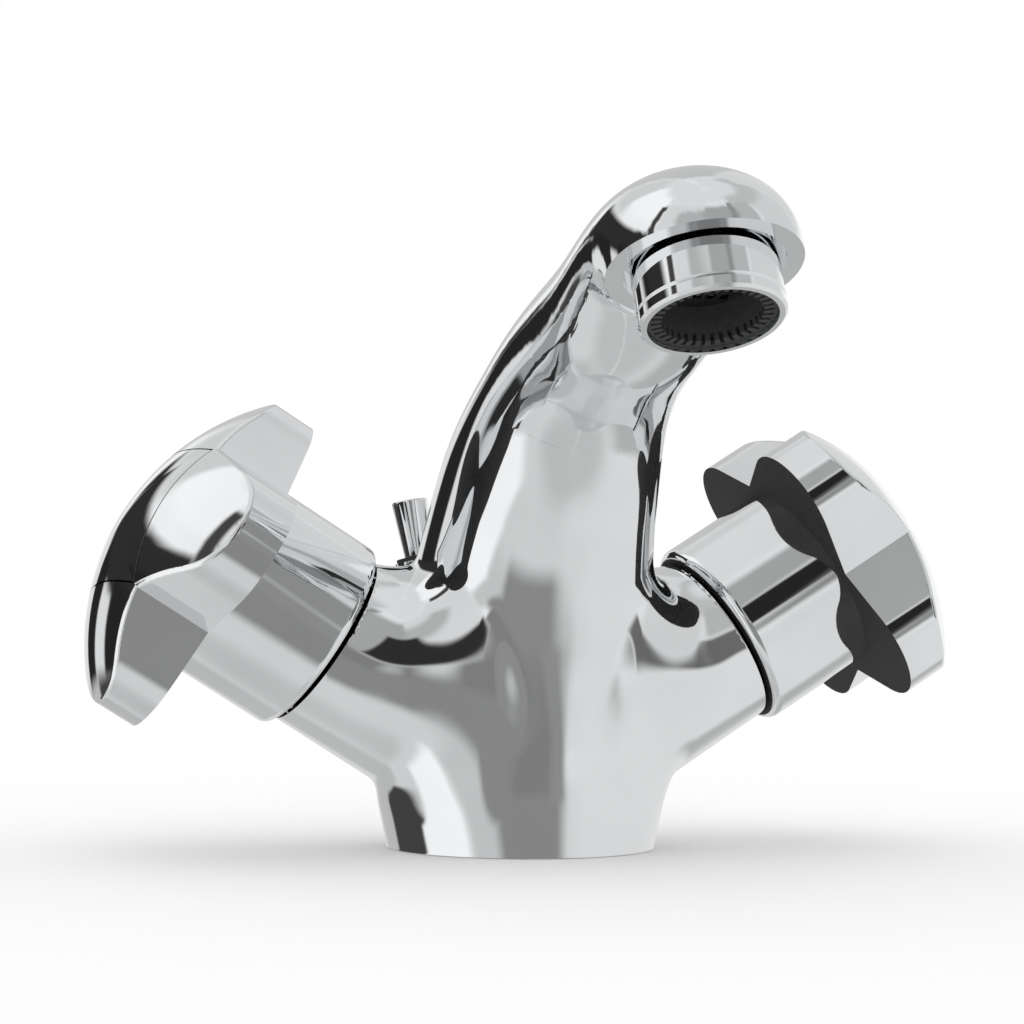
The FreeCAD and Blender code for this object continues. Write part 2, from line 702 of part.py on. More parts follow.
def main():
    os.makedirs("parts", exist_ok=True)
    save("body_casting", body_casting())
    save("base_seal", base_seal())
    outlet = outlet_matrix()
    for name, make in (("aerator_housing", aerator_housing), ("aerator_insert", aerator_insert),
                       ("aerator_mesh", aerator_mesh), ("aerator_washer", aerator_washer)):
        save(name, placed(make(), outlet))
    rod = rod_matrix()
    for name, make in (("rod_bush", rod_bush), ("lift_rod", lift_rod), ("lift_knob", lift_knob)):
        save(name, placed(make(), rod))
    for side_name, side, turn in (("left", LEFT, LEFT_WING_TURN), ("right", RIGHT, RIGHT_WING_TURN)):
        frame = arm_matrix(side, ARM_END)
        for name, make in (("seat_seal", seat_seal), ("fixed_disc", fixed_disc), ("moving_disc", moving_disc),
                           ("headwork_housing", headwork_housing), ("headwork_gasket", headwork_gasket),
                           ("spindle", spindle), ("spindle_o_ring", spindle_o_ring),
                           ("retaining_clip", retaining_clip), ("handle_screw", handle_screw)):
            save(side_name + "_" + name, placed(make(), frame))
        for name, make in (("handle", handle_casting), ("handle_cap", handle_cap)):
            piece = make()
            piece.rotate(ORIGIN, Z_AXIS, wing_angle(side, turn))
            save(side_name + "_" + name, placed_turned(piece, frame))


def wing_angle(side, turn):
    # The wing's turn is counted from the front (-Y) towards the upper side of the arm
    return side * (90 - turn)


def placed_turned(shape, matrix):
    moved = shape.copy()
    moved.Placement = FreeCAD.Placement(matrix).multiply(moved.Placement)
    return moved


main()
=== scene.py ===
import json
import math

import bmesh
import bpy
import numpy as np
from mathutils import Matrix, Vector


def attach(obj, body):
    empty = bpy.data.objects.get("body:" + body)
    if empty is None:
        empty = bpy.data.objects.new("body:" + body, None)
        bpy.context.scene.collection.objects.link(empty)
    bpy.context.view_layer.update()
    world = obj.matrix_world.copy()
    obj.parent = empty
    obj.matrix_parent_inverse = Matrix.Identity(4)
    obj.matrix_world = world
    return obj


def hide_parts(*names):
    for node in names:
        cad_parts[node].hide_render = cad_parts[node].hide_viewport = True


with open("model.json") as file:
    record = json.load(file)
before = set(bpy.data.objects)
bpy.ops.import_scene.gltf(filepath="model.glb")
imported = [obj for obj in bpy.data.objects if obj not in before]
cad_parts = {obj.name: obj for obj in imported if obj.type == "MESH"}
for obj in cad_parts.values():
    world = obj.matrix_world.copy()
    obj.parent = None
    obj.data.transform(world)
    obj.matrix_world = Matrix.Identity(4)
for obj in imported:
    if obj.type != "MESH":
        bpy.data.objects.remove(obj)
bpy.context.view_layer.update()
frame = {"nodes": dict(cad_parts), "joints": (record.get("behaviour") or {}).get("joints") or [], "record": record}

rod_joint = [joint for joint in frame["joints"] if joint["name"] == "waste_rod_lift"][0]

# The arms and the handles on them slant upwards from the middle by this angle
ARM_RISE = math.radians(32)


# Node helpers
def new_material(name):
    material = bpy.data.materials.new(name)
    material.use_nodes = True
    return material, material.node_tree, material.node_tree.nodes["Principled BSDF"]


def noise(tree, scale, detail, roughness=0.5):
    where = tree.nodes.new("ShaderNodeTexCoord")
    node = tree.nodes.new("ShaderNodeTexNoise")
    node.inputs["Scale"].default_value = scale
    node.inputs["Detail"].default_value = detail
    node.inputs["Roughness"].default_value = roughness
    tree.links.new(where.outputs["Object"], node.inputs["Vector"])
    return node


def ramp(tree, source, low, high, low_colour, high_colour):
    node = tree.nodes.new("ShaderNodeValToRGB")
    node.color_ramp.elements[0].position = low
    node.color_ramp.elements[1].position = high
    node.color_ramp.elements[0].color = low_colour
    node.color_ramp.elements[1].color = high_colour
    tree.links.new(source, node.inputs["Fac"])
    return node


def span(tree, source, low, high):
    node = tree.nodes.new("ShaderNodeMapRange")
    node.inputs["To Min"].default_value = low
    node.inputs["To Max"].default_value = high
    tree.links.new(source, node.inputs["Value"])
    return node


def bump(tree, shader, source, strength, distance):
    node = tree.nodes.new("ShaderNodeBump")
    node.inputs["Strength"].default_value = strength
    node.inputs["Distance"].default_value = distance
    tree.links.new(source, node.inputs["Height"])
    tree.links.new(node.outputs["Normal"], shader.inputs["Normal"])


# Materials: a dark and a light tone, the lowest and highest roughness and the grain's scale.
# Then metals have the strength of their waviness, and soft surfaces their grain's depth (m).
# The handles' undersides, a rough dark tone painted as the shade in their hollow insides, have neither
CHROME = (0.80, 0.81, 0.82, 1), (0.86, 0.87, 0.88, 1), 0.025, 0.055, 420, 0.02
BRASS = (0.58, 0.43, 0.20, 1), (0.74, 0.57, 0.30, 1), 0.18, 0.34, 900, 0.1
ROD_STEEL = (0.50, 0.51, 0.53, 1), (0.62, 0.63, 0.65, 1), 0.16, 0.30, 1100, 0.05
MESH_STEEL = (0.34, 0.35, 0.37, 1), (0.52, 0.53, 0.55, 1), 0.25, 0.42, 1500, 0.1
PLASTIC = (0.030, 0.031, 0.033, 1), (0.050, 0.052, 0.055, 1), 0.6, 0.8, 1400, 0.00003
RUBBER = (0.012, 0.012, 0.012, 1), (0.03, 0.03, 0.03, 1), 0.6, 0.8, 1600, 0.00005
CERAMIC = (0.80, 0.79, 0.75, 1), (0.88, 0.87, 0.84, 1), 0.12, 0.22, 700, 0.00001
# Painted shade for the handles' undersides: the dark tones stand in for the shade inside the hollow; the high
# roughness is their dull finish
UNDERSIDE_PAINTED_SHADE = (0.010, 0.010, 0.011, 1), (0.034, 0.034, 0.036, 1), 0.55, 0.8, 900

# Scale of the slow tone change on metal, and the depth of its waviness (m)
SLOW_SCALE = 45
WAVE_DEPTH = 0.0004
GRAIN_STRENGTH = 0.25
# The noise values between which the tone goes from dark to light
EVEN_TONES = 0.3, 0.7
GRAIN_TONES = 0.3, 0.75
# A face looks back at the sleeve where its normal's part along the handle's axis is below this
UNDERSIDE = -0.97


def metal(name, dark, light, rough_low, rough_high, grain, wave):
    # Plated or bare metal: a slow tone change, fine wipe marks in the gloss, a faint waviness
    material, tree, shader = new_material(name)
    shader.inputs["Metallic"].default_value = 1.0
    slow = noise(tree, SLOW_SCALE, 3)
    fine = noise(tree, grain, 5, 0.62)
    tone = ramp(tree, slow.outputs["Fac"], *EVEN_TONES, dark, light)
    tree.links.new(tone.outputs["Color"], shader.inputs["Base Color"])
    gloss = span(tree, fine.outputs["Fac"], rough_low, rough_high)
    tree.links.new(gloss.outputs["Result"], shader.inputs["Roughness"])
    bump(tree, shader, slow.outputs["Fac"], wave, WAVE_DEPTH)
    return material


def grained(tree, shader, detail, dark, light, rough_low, rough_high, grain):
    # Tone and gloss that both follow a fine grain
    fine = noise(tree, grain, detail, 0.6)
    tone = ramp(tree, fine.outputs["Fac"], *GRAIN_TONES, dark, light)
    tree.links.new(tone.outputs["Color"], shader.inputs["Base Color"])
    gloss = span(tree, fine.outputs["Fac"], rough_low, rough_high)
    tree.links.new(gloss.outputs["Result"], shader.inputs["Roughness"])
    return fine


def soft(name, dark, light, rough_low, rough_high, grain, depth):
    # Rubber, plastic or ceramic with a raised grain
    material, tree, shader = new_material(name)
    fine = grained(tree, shader, 6, dark, light, rough_low, rough_high, grain)
    bump(tree, shader, fine.outputs["Fac"], GRAIN_STRENGTH, depth)
    return material


def handle_chrome_painted_shade(name, side):
    # Chrome outside. The faces that look back at the sleeve get painted shade: a dark, rough tone that stands in
    # for the shade inside the handle's hollow underside
    material = metal(name, *CHROME)
    tree = material.node_tree
    plated = tree.nodes["Principled BSDF"]
    painted_shade = tree.nodes.new("ShaderNodeBsdfPrincipled")
    # Dark grained tone, painted as the shade of the hollow underside
    grained(tree, painted_shade, 5, *UNDERSIDE_PAINTED_SHADE)
    surface = tree.nodes.new("ShaderNodeNewGeometry")
    along = tree.nodes.new("ShaderNodeVectorMath")
    along.operation = "DOT_PRODUCT"
    along.inputs[1].default_value = (side * math.cos(ARM_RISE), 0, math.sin(ARM_RISE))
    tree.links.new(surface.outputs["Normal"], along.inputs[0])
    # Mask of the painted shade: faces whose normal points back along the handle's axis
    under = tree.nodes.new("ShaderNodeMath")
    under.operation = "LESS_THAN"
    under.inputs[1].default_value = UNDERSIDE
    tree.links.new(along.outputs["Value"], under.inputs[0])
    pick = tree.nodes.new("ShaderNodeMixShader")
    tree.links.new(under.outputs["Value"], pick.inputs["Fac"])
    tree.links.new(plated.outputs["BSDF"], pick.inputs[1])
    tree.links.new(painted_shade.outputs["BSDF"], pick.inputs[2])
    tree.links.new(pick.outputs["Shader"], tree.nodes["Material Output"].inputs["Surface"])
    return material


chrome = metal("polished_chrome", *CHROME)
looks = {
    "polished_chrome": chrome,
    "raw_brass": metal("raw_brass", *BRASS),
    "rod_steel": metal("rod_steel", *ROD_STEEL),
    "steel_mesh": metal("steel_mesh", *MESH_STEEL),
    "grey_plastic": soft("grey_plastic", *PLASTIC),
    "black_rubber": soft("black_rubber", *RUBBER),
    "white_disc": soft("white_disc", *CERAMIC),
}


def assign(obj, material):
    obj.data.materials.clear()
    obj.data.materials.append(material)


for part in frame["record"]["subparts"]:
    assign(frame["nodes"][part["node"]], looks[part["material_slot"]])

for handle, side in (("left_handle", -1), ("right_handle", 1)):
    assign(frame["nodes"][handle], handle_chrome_painted_shade(handle + "_chrome", side))


# Body casting's outer skin, where spout, arms and foot flow into each other in front.
# Sizes in metres. The stations are the casting's own; the arms' roots are a little deeper here,
# so that they meet the foot's front
FOOT_RADIUS = 0.026
ARM_END_RADIUS = 0.0174
ARM_END = 0.0469
ARM_ROOT_HEIGHT = 0.01524
OUTLET_TILT = math.radians(24)
OUTLET = np.array((0, -0.1003, 0.09515))
RIM_RADIUS = 0.0168
RIM_LIFT = 0.010
# Spout: shares of the way forward and up, lean in degrees, half width and half depth as shares
# of the foot's radius
SPOUT_STATION_SHARES = [
    (0.000, 0.000, 0.0, 1.000, 1.000),
    (0.000, 0.050, 0.0, 1.045, 1.010),
    (0.002, 0.110, 1.0, 1.085, 1.015),
    (0.008, 0.200, 4.0, 1.010, 0.990),
    (0.022, 0.316, 9.0, 0.950, 0.945),
    (0.085, 0.520, 22.0, 0.852, 0.800),
    (0.184, 0.688, 32.0, 0.772, 0.708),
    (0.346, 0.834, 48.0, 0.684, 0.612),
    (0.484, 0.902, 62.0, 0.640, 0.552),
    (0.666, 0.964, 78.0, 0.622, 0.510),
    (0.825, 1.031, 100.0, 0.630, 0.492),
    (0.938, 1.043, 129.8, 0.645, 0.600),
]
# Arm: share of the way out, then height above and below its axis and half depth as shares of
# the foot's radius at the root and of the end's radius further out
ARM_ROOT_SHARES = [(0.15, 1.037, 0.669, 0.890), (0.45, 1.084, 0.669, 0.900)]
ARM_OUTER_SHARES = [(0.73, 1.52, 1.00, 1.22), (0.88, 1.17, 1.00, 1.08), (1.00, 1.00, 1.00, 1.00)]
ARM_ROOT_ROUND = 0.020
# Reach of the blend between the forms: small at the sides, growing over these distances to the
# wide valley on the front flanks
SIDE_BLEND = 0.0025
FRONT_BLEND = 0.009
FRONT_RANGE = (0.004, 0.020)
FLANK_RANGE = (0.004, 0.016)
# Power of the section's curve: 2 is an ellipse, more is fuller. It changes along the spout
# over this range and fades back before the skin's end
ROUND = 2.0
FULLER = 2.5
FULLER_RANGE = (0.020, 0.050)
FULLER_FADE = 0.025
# The skin ends at this station of the spout. Above the neck's height every face is the spout's,
# and an arm's end is trimmed only below it and this far out
SKIN_LAST_STATION = 7
SKIN_NECK_HEIGHT = 0.062
ARM_TRIM_FROM = 0.02
# Rough tubes: how far they go past the trimmed ends, the distance of their rings and the sides
SPARE_END = 0.003
RING_STEP = 0.0015
RING_SIDES = 64
# Cell of the remesh, then the steps that pull its points onto the form
SKIN_CELL = 0.0008
PULL_STEPS = 5
PULL_LIMIT = 0.002
SLOPE_STEP = 0.00005
# Search for the nearest place along the spout's path
PATH_POINTS = 600
PATH_STRIDE = 6
SEARCH_STEPS = 8
SEARCH_SHARE = 0.8
SEARCH_LIMIT = 0.004
# Keeps the distance finite in the middle of a section
TINY = 1e-9
# A face of the casting is replaced by the skin if it lies no deeper than this and faces outwards
SKIN_DEPTH = 0.005
FACING = 0.6
# The lift rod's boss keeps the casting's own faces
ROD_FOOT = np.array((-0.00867, 0.0080, 0))
ROD_DIRECTION = np.array(rod_joint["axis"])
BOSS_REACH = 0.00492


def spline(knots, values, places):
    # Natural cubic curve through the values, straight beyond the ends
    knots = np.array(knots, float)
    values = np.array(values, float)
    count = len(knots)
    gaps = np.diff(knots)
    matrix = np.eye(count)
    right = np.zeros(count)
    slopes = np.diff(values) / gaps
    for i in range(1, count - 1):
        matrix[i, i - 1:i + 2] = gaps[i - 1], 2 * (gaps[i - 1] + gaps[i]), gaps[i]
        right[i] = 6 * (slopes[i] - slopes[i - 1])
    bend = np.linalg.solve(matrix, right)
    at = np.clip(places, knots[0], knots[-1])
    i = np.clip(np.searchsorted(knots, at) - 1, 0, count - 2)
    past = at - knots[i]
    first = slopes[i] - gaps[i] * (2 * bend[i] + bend[i + 1]) / 6
    third = (bend[i + 1] - bend[i]) / (6 * gaps[i])
    return values[i] + past * (first + past * (bend[i] / 2 + past * third))


class SpoutForm:
    # Oval sections along a splined path from the foot's middle to the hood's rim
    def __init__(self):
        forward = -OUTLET[1] - RIM_LIFT * math.sin(OUTLET_TILT)
        height = OUTLET[2] + RIM_LIFT * math.cos(OUTLET_TILT)
        rows = [(-f * forward, h * height, math.radians(lean), w * FOOT_RADIUS, d * FOOT_RADIUS)
                for f, h, lean, w, d in SPOUT_STATION_SHARES]
        rows.append((-forward, height, math.pi - OUTLET_TILT, RIM_RADIUS, RIM_RADIUS))
        rows = np.array(rows)
        steps = np.hypot(np.diff(rows[:, 0]), np.diff(rows[:, 1]))
        knots = np.concatenate([[0], np.cumsum(steps)])
        self.length = knots[-1]
        self.skin_end = knots[SKIN_LAST_STATION]
        self.path = np.linspace(0, self.length, PATH_POINTS)
        self.table = [spline(knots, column, self.path) for column in rows.T]

    def at(self, place):
        inside = np.clip(place, 0, self.length)
        y, z, lean, wide, deep = [np.interp(inside, self.path, column) for column in self.table]
        past = place - inside
        return y - past * np.sin(lean), z + past * np.cos(lean), lean, wide, deep

    def section(self, place):
        # Middle of a section and the direction of the spout there
        y, z, lean, wide, deep = self.at(place)
        return np.array((0, y, z)), np.array((0, -np.sin(lean), np.cos(lean)))

    def distance(self, points):
        near = np.full(len(points), np.inf)
        place = np.zeros(len(points))
        path_y, path_z = self.table[:2]
        for k in range(0, PATH_POINTS, PATH_STRIDE):
            gap = (points[:, 1] - path_y[k]) ** 2 + (points[:, 2] - path_z[k]) ** 2
            closer = gap < near
            near[closer] = gap[closer]
            place[closer] = self.path[k]
        for step in range(SEARCH_STEPS):
            y, z, lean, wide, deep = self.at(place)
            along = -(points[:, 1] - y) * np.sin(lean) + (points[:, 2] - z) * np.cos(lean)
            place = place + SEARCH_SHARE * np.clip(along, -SEARCH_LIMIT, SEARCH_LIMIT)
        y, z, lean, wide, deep = self.at(place)
        depth = (points[:, 1] - y) * np.cos(lean) + (points[:, 2] - z) * np.sin(lean)
        fading = soft_step(self.skin_end - place, 0, FULLER_FADE)
        power = ROUND + (FULLER - ROUND) * (soft_step(place, *FULLER_RANGE) * fading)
        return oval_distance(points[:, 0] / wide, depth / deep, wide, deep, power)


def oval_distance(across, depth, wide, deep, power, past=0, length=1):
    # Nearly the distance to an oval tube, from places across it as shares of its half sizes
    # and, where the tube has a rounded end, past that end
    less = power - 1
    share = (abs(across) ** power + abs(depth) ** power + abs(past) ** power) ** (1 / power) + TINY
    steep = np.sqrt((abs(across) ** less / wide) ** 2 + (abs(depth) ** less / deep) ** 2
                    + (abs(past) ** less / length) ** 2) + TINY
    return (share - 1) * share ** less / steep


class ArmForm:
    # Oval sections along a straight slanting axis, with a rounded root inside the foot
    def __init__(self, side):
        self.axis = np.array((side * math.cos(ARM_RISE), 0, math.sin(ARM_RISE)))
        self.up = np.array((-side * math.sin(ARM_RISE), 0, math.cos(ARM_RISE)))
        rows = [(FOOT_RADIUS,) + shares for shares in ARM_ROOT_SHARES]
        rows += [(ARM_END_RADIUS,) + shares for shares in ARM_OUTER_SHARES]
        rows = np.array([(place * ARM_END, top * size, bottom * size, depth * size)
                         for size, place, top, bottom, depth in rows])
        self.start = rows[0, 0]
        self.rows = rows

    def at(self, place):
        inside = np.clip(place, self.start, ARM_END)
        places, *columns = self.rows.T
        top, bottom, depth = [spline(places, column, inside) for column in columns]
        return (top - bottom) / 2, (top + bottom) / 2, depth

    def distance(self, points):
        away = points - np.array((0, 0, ARM_ROOT_HEIGHT))
        place = away @ self.axis
        lift, tall, depth = self.at(place)
        past = np.maximum(self.start - place, 0) / ARM_ROOT_ROUND
        across = points[:, 1] / depth
        height = (away @ self.up - lift) / tall
        return oval_distance(across, height, depth, tall, ROUND, past, ARM_ROOT_ROUND)


def soft_step(value, start, full):
    share = np.clip((value - start) / (full - start), 0, 1)
    return share * share * (3 - 2 * share)


def soft_join(first, second, reach):
    overlap = np.maximum(reach - np.abs(first - second), 0)
    return np.minimum(first, second) - overlap ** 2 / (4 * reach)


def body_distance(forms, points):
    # Distance to the joined form of spout and arms, negative inside
    spout, *arms = forms
    front = soft_step(-points[:, 1], *FRONT_RANGE) * soft_step(abs(points[:, 0]), *FLANK_RANGE)
    reach = SIDE_BLEND + (FRONT_BLEND - SIDE_BLEND) * front
    joined = spout.distance(points)
    for arm in arms:
        joined = soft_join(joined, arm.distance(points), reach)
    return joined


def slope(forms, points):
    parts = []
    for shift in SLOPE_STEP * np.eye(3):
        rise = body_distance(forms, points + shift) - body_distance(forms, points - shift)
        parts.append(rise / (2 * SLOPE_STEP))
    return np.stack(parts, 1)


def ring_mesh(rings):
    # Closed tube through rings of equal count
    count = len(rings[0])
    points = [tuple(p) for ring in rings for p in ring]
    faces = [tuple(range(count))[::-1], tuple(range(len(points) - count, len(points)))]
    for row in range(len(rings) - 1):
        for i in range(count):
            j = (i + 1) % count
            low = row * count
            faces.append((low + i, low + j, low + count + j, low + count + i))
    return points, faces


def rough_body(forms):
    # The spout's and both arms' tubes, longer than needed at the ends that are trimmed
    spout, *arms = forms
    angles = np.linspace(0, 2 * math.pi, RING_SIDES, endpoint=False)
    rings = []
    for place in np.arange(-SPARE_END, spout.skin_end + SPARE_END, RING_STEP):
        y, z, lean, wide, deep = spout.at(np.array([place]))
        depth = deep * np.sin(angles)
        ring = [wide * np.cos(angles), y + depth * np.cos(lean), z + depth * np.sin(lean)]
        rings.append(np.stack(ring, 1))
    tubes = [ring_mesh(rings)]
    for arm in arms:
        rings = []
        for place in np.arange(arm.start, ARM_END + SPARE_END, RING_STEP):
            lift, tall, depth = arm.at(np.array([place]))
            centre = np.array((0, 0, ARM_ROOT_HEIGHT)) + arm.axis * place
            rise = lift + tall * np.cos(angles)
            ring = centre + np.outer(rise, arm.up)
            ring[:, 1] += depth * np.sin(angles)
            rings.append(ring)
        tubes.append(ring_mesh(rings))
    points, faces = [], []
    for tube_points, tube_faces in tubes:
        faces += [tuple(i + len(points) for i in face) for face in tube_faces]
        points += tube_points
    mesh = bpy.data.meshes.new("rough_body")
    mesh.from_pydata(points, [], faces)
    shell = bmesh.new()
    shell.from_mesh(mesh)
    bmesh.ops.recalc_face_normals(shell, faces=shell.faces[:])
    shell.to_mesh(mesh)
    shell.free()
    return mesh


def trim(shell, faces, place, outwards):
    # Cuts off what these faces reach beyond the plane
    geometry = set(faces)
    for face in faces:
        geometry.update(face.edges)
        geometry.update(face.verts)
    bmesh.ops.bisect_plane(shell, geom=list(geometry), plane_co=place, plane_no=outwards,
                           clear_outer=True)


def skin_mesh(forms):
    # The rough tubes joined by a remesh, pulled onto the form and trimmed
    spout, *arms = forms
    rough = bpy.data.objects.new("rough_body", rough_body(forms))
    bpy.context.scene.collection.objects.link(rough)
    even = rough.modifiers.new("even", "REMESH")
    even.mode = "VOXEL"
    even.voxel_size = SKIN_CELL
    graph = bpy.context.evaluated_depsgraph_get()
    mesh = bpy.data.meshes.new_from_object(rough.evaluated_get(graph))
    bpy.data.objects.remove(rough)
    points = np.empty(len(mesh.vertices) * 3)
    mesh.vertices.foreach_get("co", points)
    points = points.reshape(-1, 3)
    for step in range(PULL_STEPS):
        away = np.clip(body_distance(forms, points), -PULL_LIMIT, PULL_LIMIT)
        uphill = slope(forms, points)
        points -= uphill * (away / (uphill ** 2).sum(1))[:, None]
    mesh.vertices.foreach_set("co", points.ravel())
    shell = bmesh.new()
    shell.from_mesh(mesh)
    foot = [f for f in shell.faces if f.calc_center_median().z < ARM_ROOT_HEIGHT]
    trim(shell, foot, (0, 0, 0), (0, 0, -1))
    middle, along = spout.section(spout.skin_end)
    neck = [f for f in shell.faces if f.calc_center_median().z > SKIN_NECK_HEIGHT]
    trim(shell, neck, Vector(middle), Vector(along))
    for arm in arms:
        end = Vector((0, 0, ARM_ROOT_HEIGHT)) + Vector(arm.axis) * ARM_END
        outer = [f for f in shell.faces if f.calc_center_median().z < SKIN_NECK_HEIGHT
                 and f.calc_center_median().x * np.sign(arm.axis[0]) > ARM_TRIM_FROM]
        trim(shell, outer, end, Vector(arm.axis))
    shell.to_mesh(mesh)
    shell.free()
    return mesh


def flowing_body():
    # The skin outside and the casting's own faces everywhere else
    forms = [SpoutForm(), ArmForm(-1), ArmForm(1)]
    mesh = skin_mesh(forms)
    skin_points = np.array([v.co for v in mesh.vertices])
    uphill = slope(forms, skin_points)
    skin_normals = uphill / np.linalg.norm(uphill, axis=1)[:, None]
    points = [tuple(p) for p in skin_points]
    faces = [tuple(p.vertices) for p in mesh.polygons]
    normals = [tuple(skin_normals[i]) for face in faces for i in face]
    # The casting's sockets, bores, end faces, hood and rod boss stay as they are
    casting = frame["nodes"]["body_casting"]
    place = casting.matrix_world
    inner = np.array([place @ v.co for v in casting.data.vertices])
    turn = place.to_3x3()
    centres = np.array([place @ f.center for f in casting.data.polygons])
    facing = np.array([turn @ f.normal for f in casting.data.polygons])
    uphill = slope(forms, centres)
    outwards = (uphill * facing).sum(1) > FACING * np.linalg.norm(uphill, axis=1)
    near = body_distance(forms, centres) > -SKIN_DEPTH
    away = np.cross(inner - ROD_FOOT, ROD_DIRECTION)
    boss = np.linalg.norm(away, axis=1) < BOSS_REACH
    spout = forms[0]
    middle, along = spout.section(spout.skin_end)
    above = ((inner - middle) @ along > 0) & (inner[:, 2] > SKIN_NECK_HEIGHT)
    corner = casting.data.corner_normals
    start = len(points)
    points += [tuple(p) for p in inner]
    for face in casting.data.polygons:
        ids = list(face.vertices)
        own = boss[ids].all() or above[ids].any()
        if own or not (outwards[face.index] and near[face.index]):
            faces.append(tuple(start + i for i in ids))
            normals += [tuple(turn @ corner[loop].vector) for loop in face.loop_indices]
    whole = bpy.data.meshes.new("flowing_body")
    whole.from_pydata(points, [], faces)
    for face in whole.polygons:
        face.use_smooth = True
    whole.normals_split_custom_set(normals)
    obj = bpy.data.objects.new("flowing_body", whole)
    bpy.context.scene.collection.objects.link(obj)
    whole.materials.append(chrome)
    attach(obj, "body")
    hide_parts("body_casting")


flowing_body()


# Studio floor: half its width and how far it lies below the part (m), its grain's scale, its
# own tones, and the light that only the camera sees from it
FLOOR_HALF = 6
FLOOR_DROP = 0.0002
FLOOR_GRAIN = 300
FLOOR_TONES = (0.915, 0.915, 0.915, 1), (0.925, 0.925, 0.925, 1)
FLOOR_LIFT = (0.08, 0.08, 0.08, 1)


def floor_material():
    # A white sheet: what the camera sees adds up to the white of the background, less the shadow
    material, tree, shader = new_material("studio_floor")
    grain = noise(tree, FLOOR_GRAIN, 4)
    tone = ramp(tree, grain.outputs["Fac"], *EVEN_TONES, *FLOOR_TONES)
    tree.links.new(tone.outputs["Color"], shader.inputs["Base Color"])
    shader.inputs["Roughness"].default_value = 1.0
    shader.inputs["Specular IOR Level"].default_value = 0.0
    path = tree.nodes.new("ShaderNodeLightPath")
    lift = tree.nodes.new("ShaderNodeEmission")
    nothing = tree.nodes.new("ShaderNodeEmission")
    lift.inputs["Color"].default_value = FLOOR_LIFT
    nothing.inputs["Strength"].default_value = 0.0
    pick = tree.nodes.new("ShaderNodeMixShader")
    both = tree.nodes.new("ShaderNodeAddShader")
    tree.links.new(path.outputs["Is Camera Ray"], pick.inputs["Fac"])
    tree.links.new(nothing.outputs["Emission"], pick.inputs[1])
    tree.links.new(lift.outputs["Emission"], pick.inputs[2])
    tree.links.new(shader.outputs["BSDF"], both.inputs[0])
    tree.links.new(pick.outputs["Shader"], both.inputs[1])
    tree.links.new(both.outputs["Shader"], tree.nodes["Material Output"].inputs["Surface"])
    return material


def white_floor():
    half, low = FLOOR_HALF, -FLOOR_DROP
    corners = [(-half, -half, low), (half, -half, low), (half, half, low), (-half, half, low)]
    mesh = bpy.data.meshes.new("floor")
    mesh.from_pydata(corners, [], [(0, 1, 2, 3)])
    mesh.materials.append(floor_material())
    floor = bpy.data.objects.new("floor", mesh)
    bpy.context.scene.collection.objects.link(floor)
    floor.visible_glossy = False


# Light tent that only glossy rays see: name, azimuths (0 towards -Y, growing towards +X) and
# elevations in degrees, the soft edge's width in degrees, and brightness. Later panels hang in
# front of earlier ones
TENT_CENTRE = (0, 0, 0.06)
TENT_RADIUS = 3.0
TENT_SEGMENTS = 96
TENT_RINGS = 48
TENT_PANELS = [
    # Floor side of the tent, seen in the undersides
    ("low_all", (-180, 180), (-91, 0), 16, 0.72),
    ("low_under", (-180, 180), (-91, -62), 16, 0.58),
    ("low_back_left", (-180, -144), (-60, -2), 14, 0.55),
    ("low_right", (26, 152), (-62, 6), 26, 0.80),
    ("low_right_back", (110, 162), (-58, -26), 14, 0.50),
    ("left_sheet", (-107, -58), (-46, 14), 12, 1.05),
    ("front_left_low", (-58, -34), (-34, 8), 14, 0.62),
    ("front_low", (-34, 18), (-36, -2), 12, 0.28),
    # Upper side
    ("high_all", (-180, 180), (58, 91), 16, 0.80),
    ("high_left", (-82, -20), (6, 60), 10, 0.76),
    ("high_left_front", (-58, -14), (33, 49), 9, 0.50),
    ("high_back_left", (-180, -148), (26, 60), 14, 0.70),
    ("left_box", (-150, -92), (36, 64), 8, 1.05),
    ("left_box_side", (-92, -83), (12, 54), 4, 0.06),
    ("left_band", (-172, -92), (9, 26), 5, 0.03),
    ("left_back", (-180, -136), (-6, 9), 4, 0.80),
    ("left_edge", (-166, -150), (-7, 12), 3, 0.02),
    ("left_corner", (-136, -116), (-8, 14), 4, 0.02),
    ("left_low_flag", (-148, -106), (-27, -7), 5, 0.06),
    # Towards the camera
    ("above_camera", (-20, 20), (31, 56), 9, 0.42),
    ("camera_flag", (-28, -9), (7, 37), 4, 0.03),
    ("camera_middle", (-10, 4), (4, 40), 4, 0.42),
    ("camera_right_flag", (4, 19), (11, 30), 3, 0.02),
    ("front_right", (6, 18), (-9, 9), 6, 0.30),
    ("front_column", (-22, 8), (-7, 7), 6, 0.24),
    ("camera_side", (17, 36), (3, 60), 6, 0.30),
    # Right side and back
    ("right_flag", (38, 61), (2, 27), 5, 0.16),
    ("right_high", (60, 120), (6, 60), 8, 0.72),
    ("high_right", (26, 146), (50, 68), 10, 0.58),
    ("high_right_front", (28, 58), (28, 56), 9, 0.52),
    ("right_lamp", (118, 152), (-2, 14), 5, 1.00),
    ("back_right", (120, 150), (14, 60), 8, 0.75),
    ("back_right_far", (150, 180), (4, 60), 8, 0.60),
]


def math_node(tree, operation, first, second=None, third=None):
    node = tree.nodes.new("ShaderNodeMath")
    node.operation = operation
    for socket, value in zip(node.inputs, (first, second, third)):
        if isinstance(value, (int, float)):
            socket.default_value = value
        elif value is not None:
            tree.links.new(value, socket)
    return node.outputs["Value"]


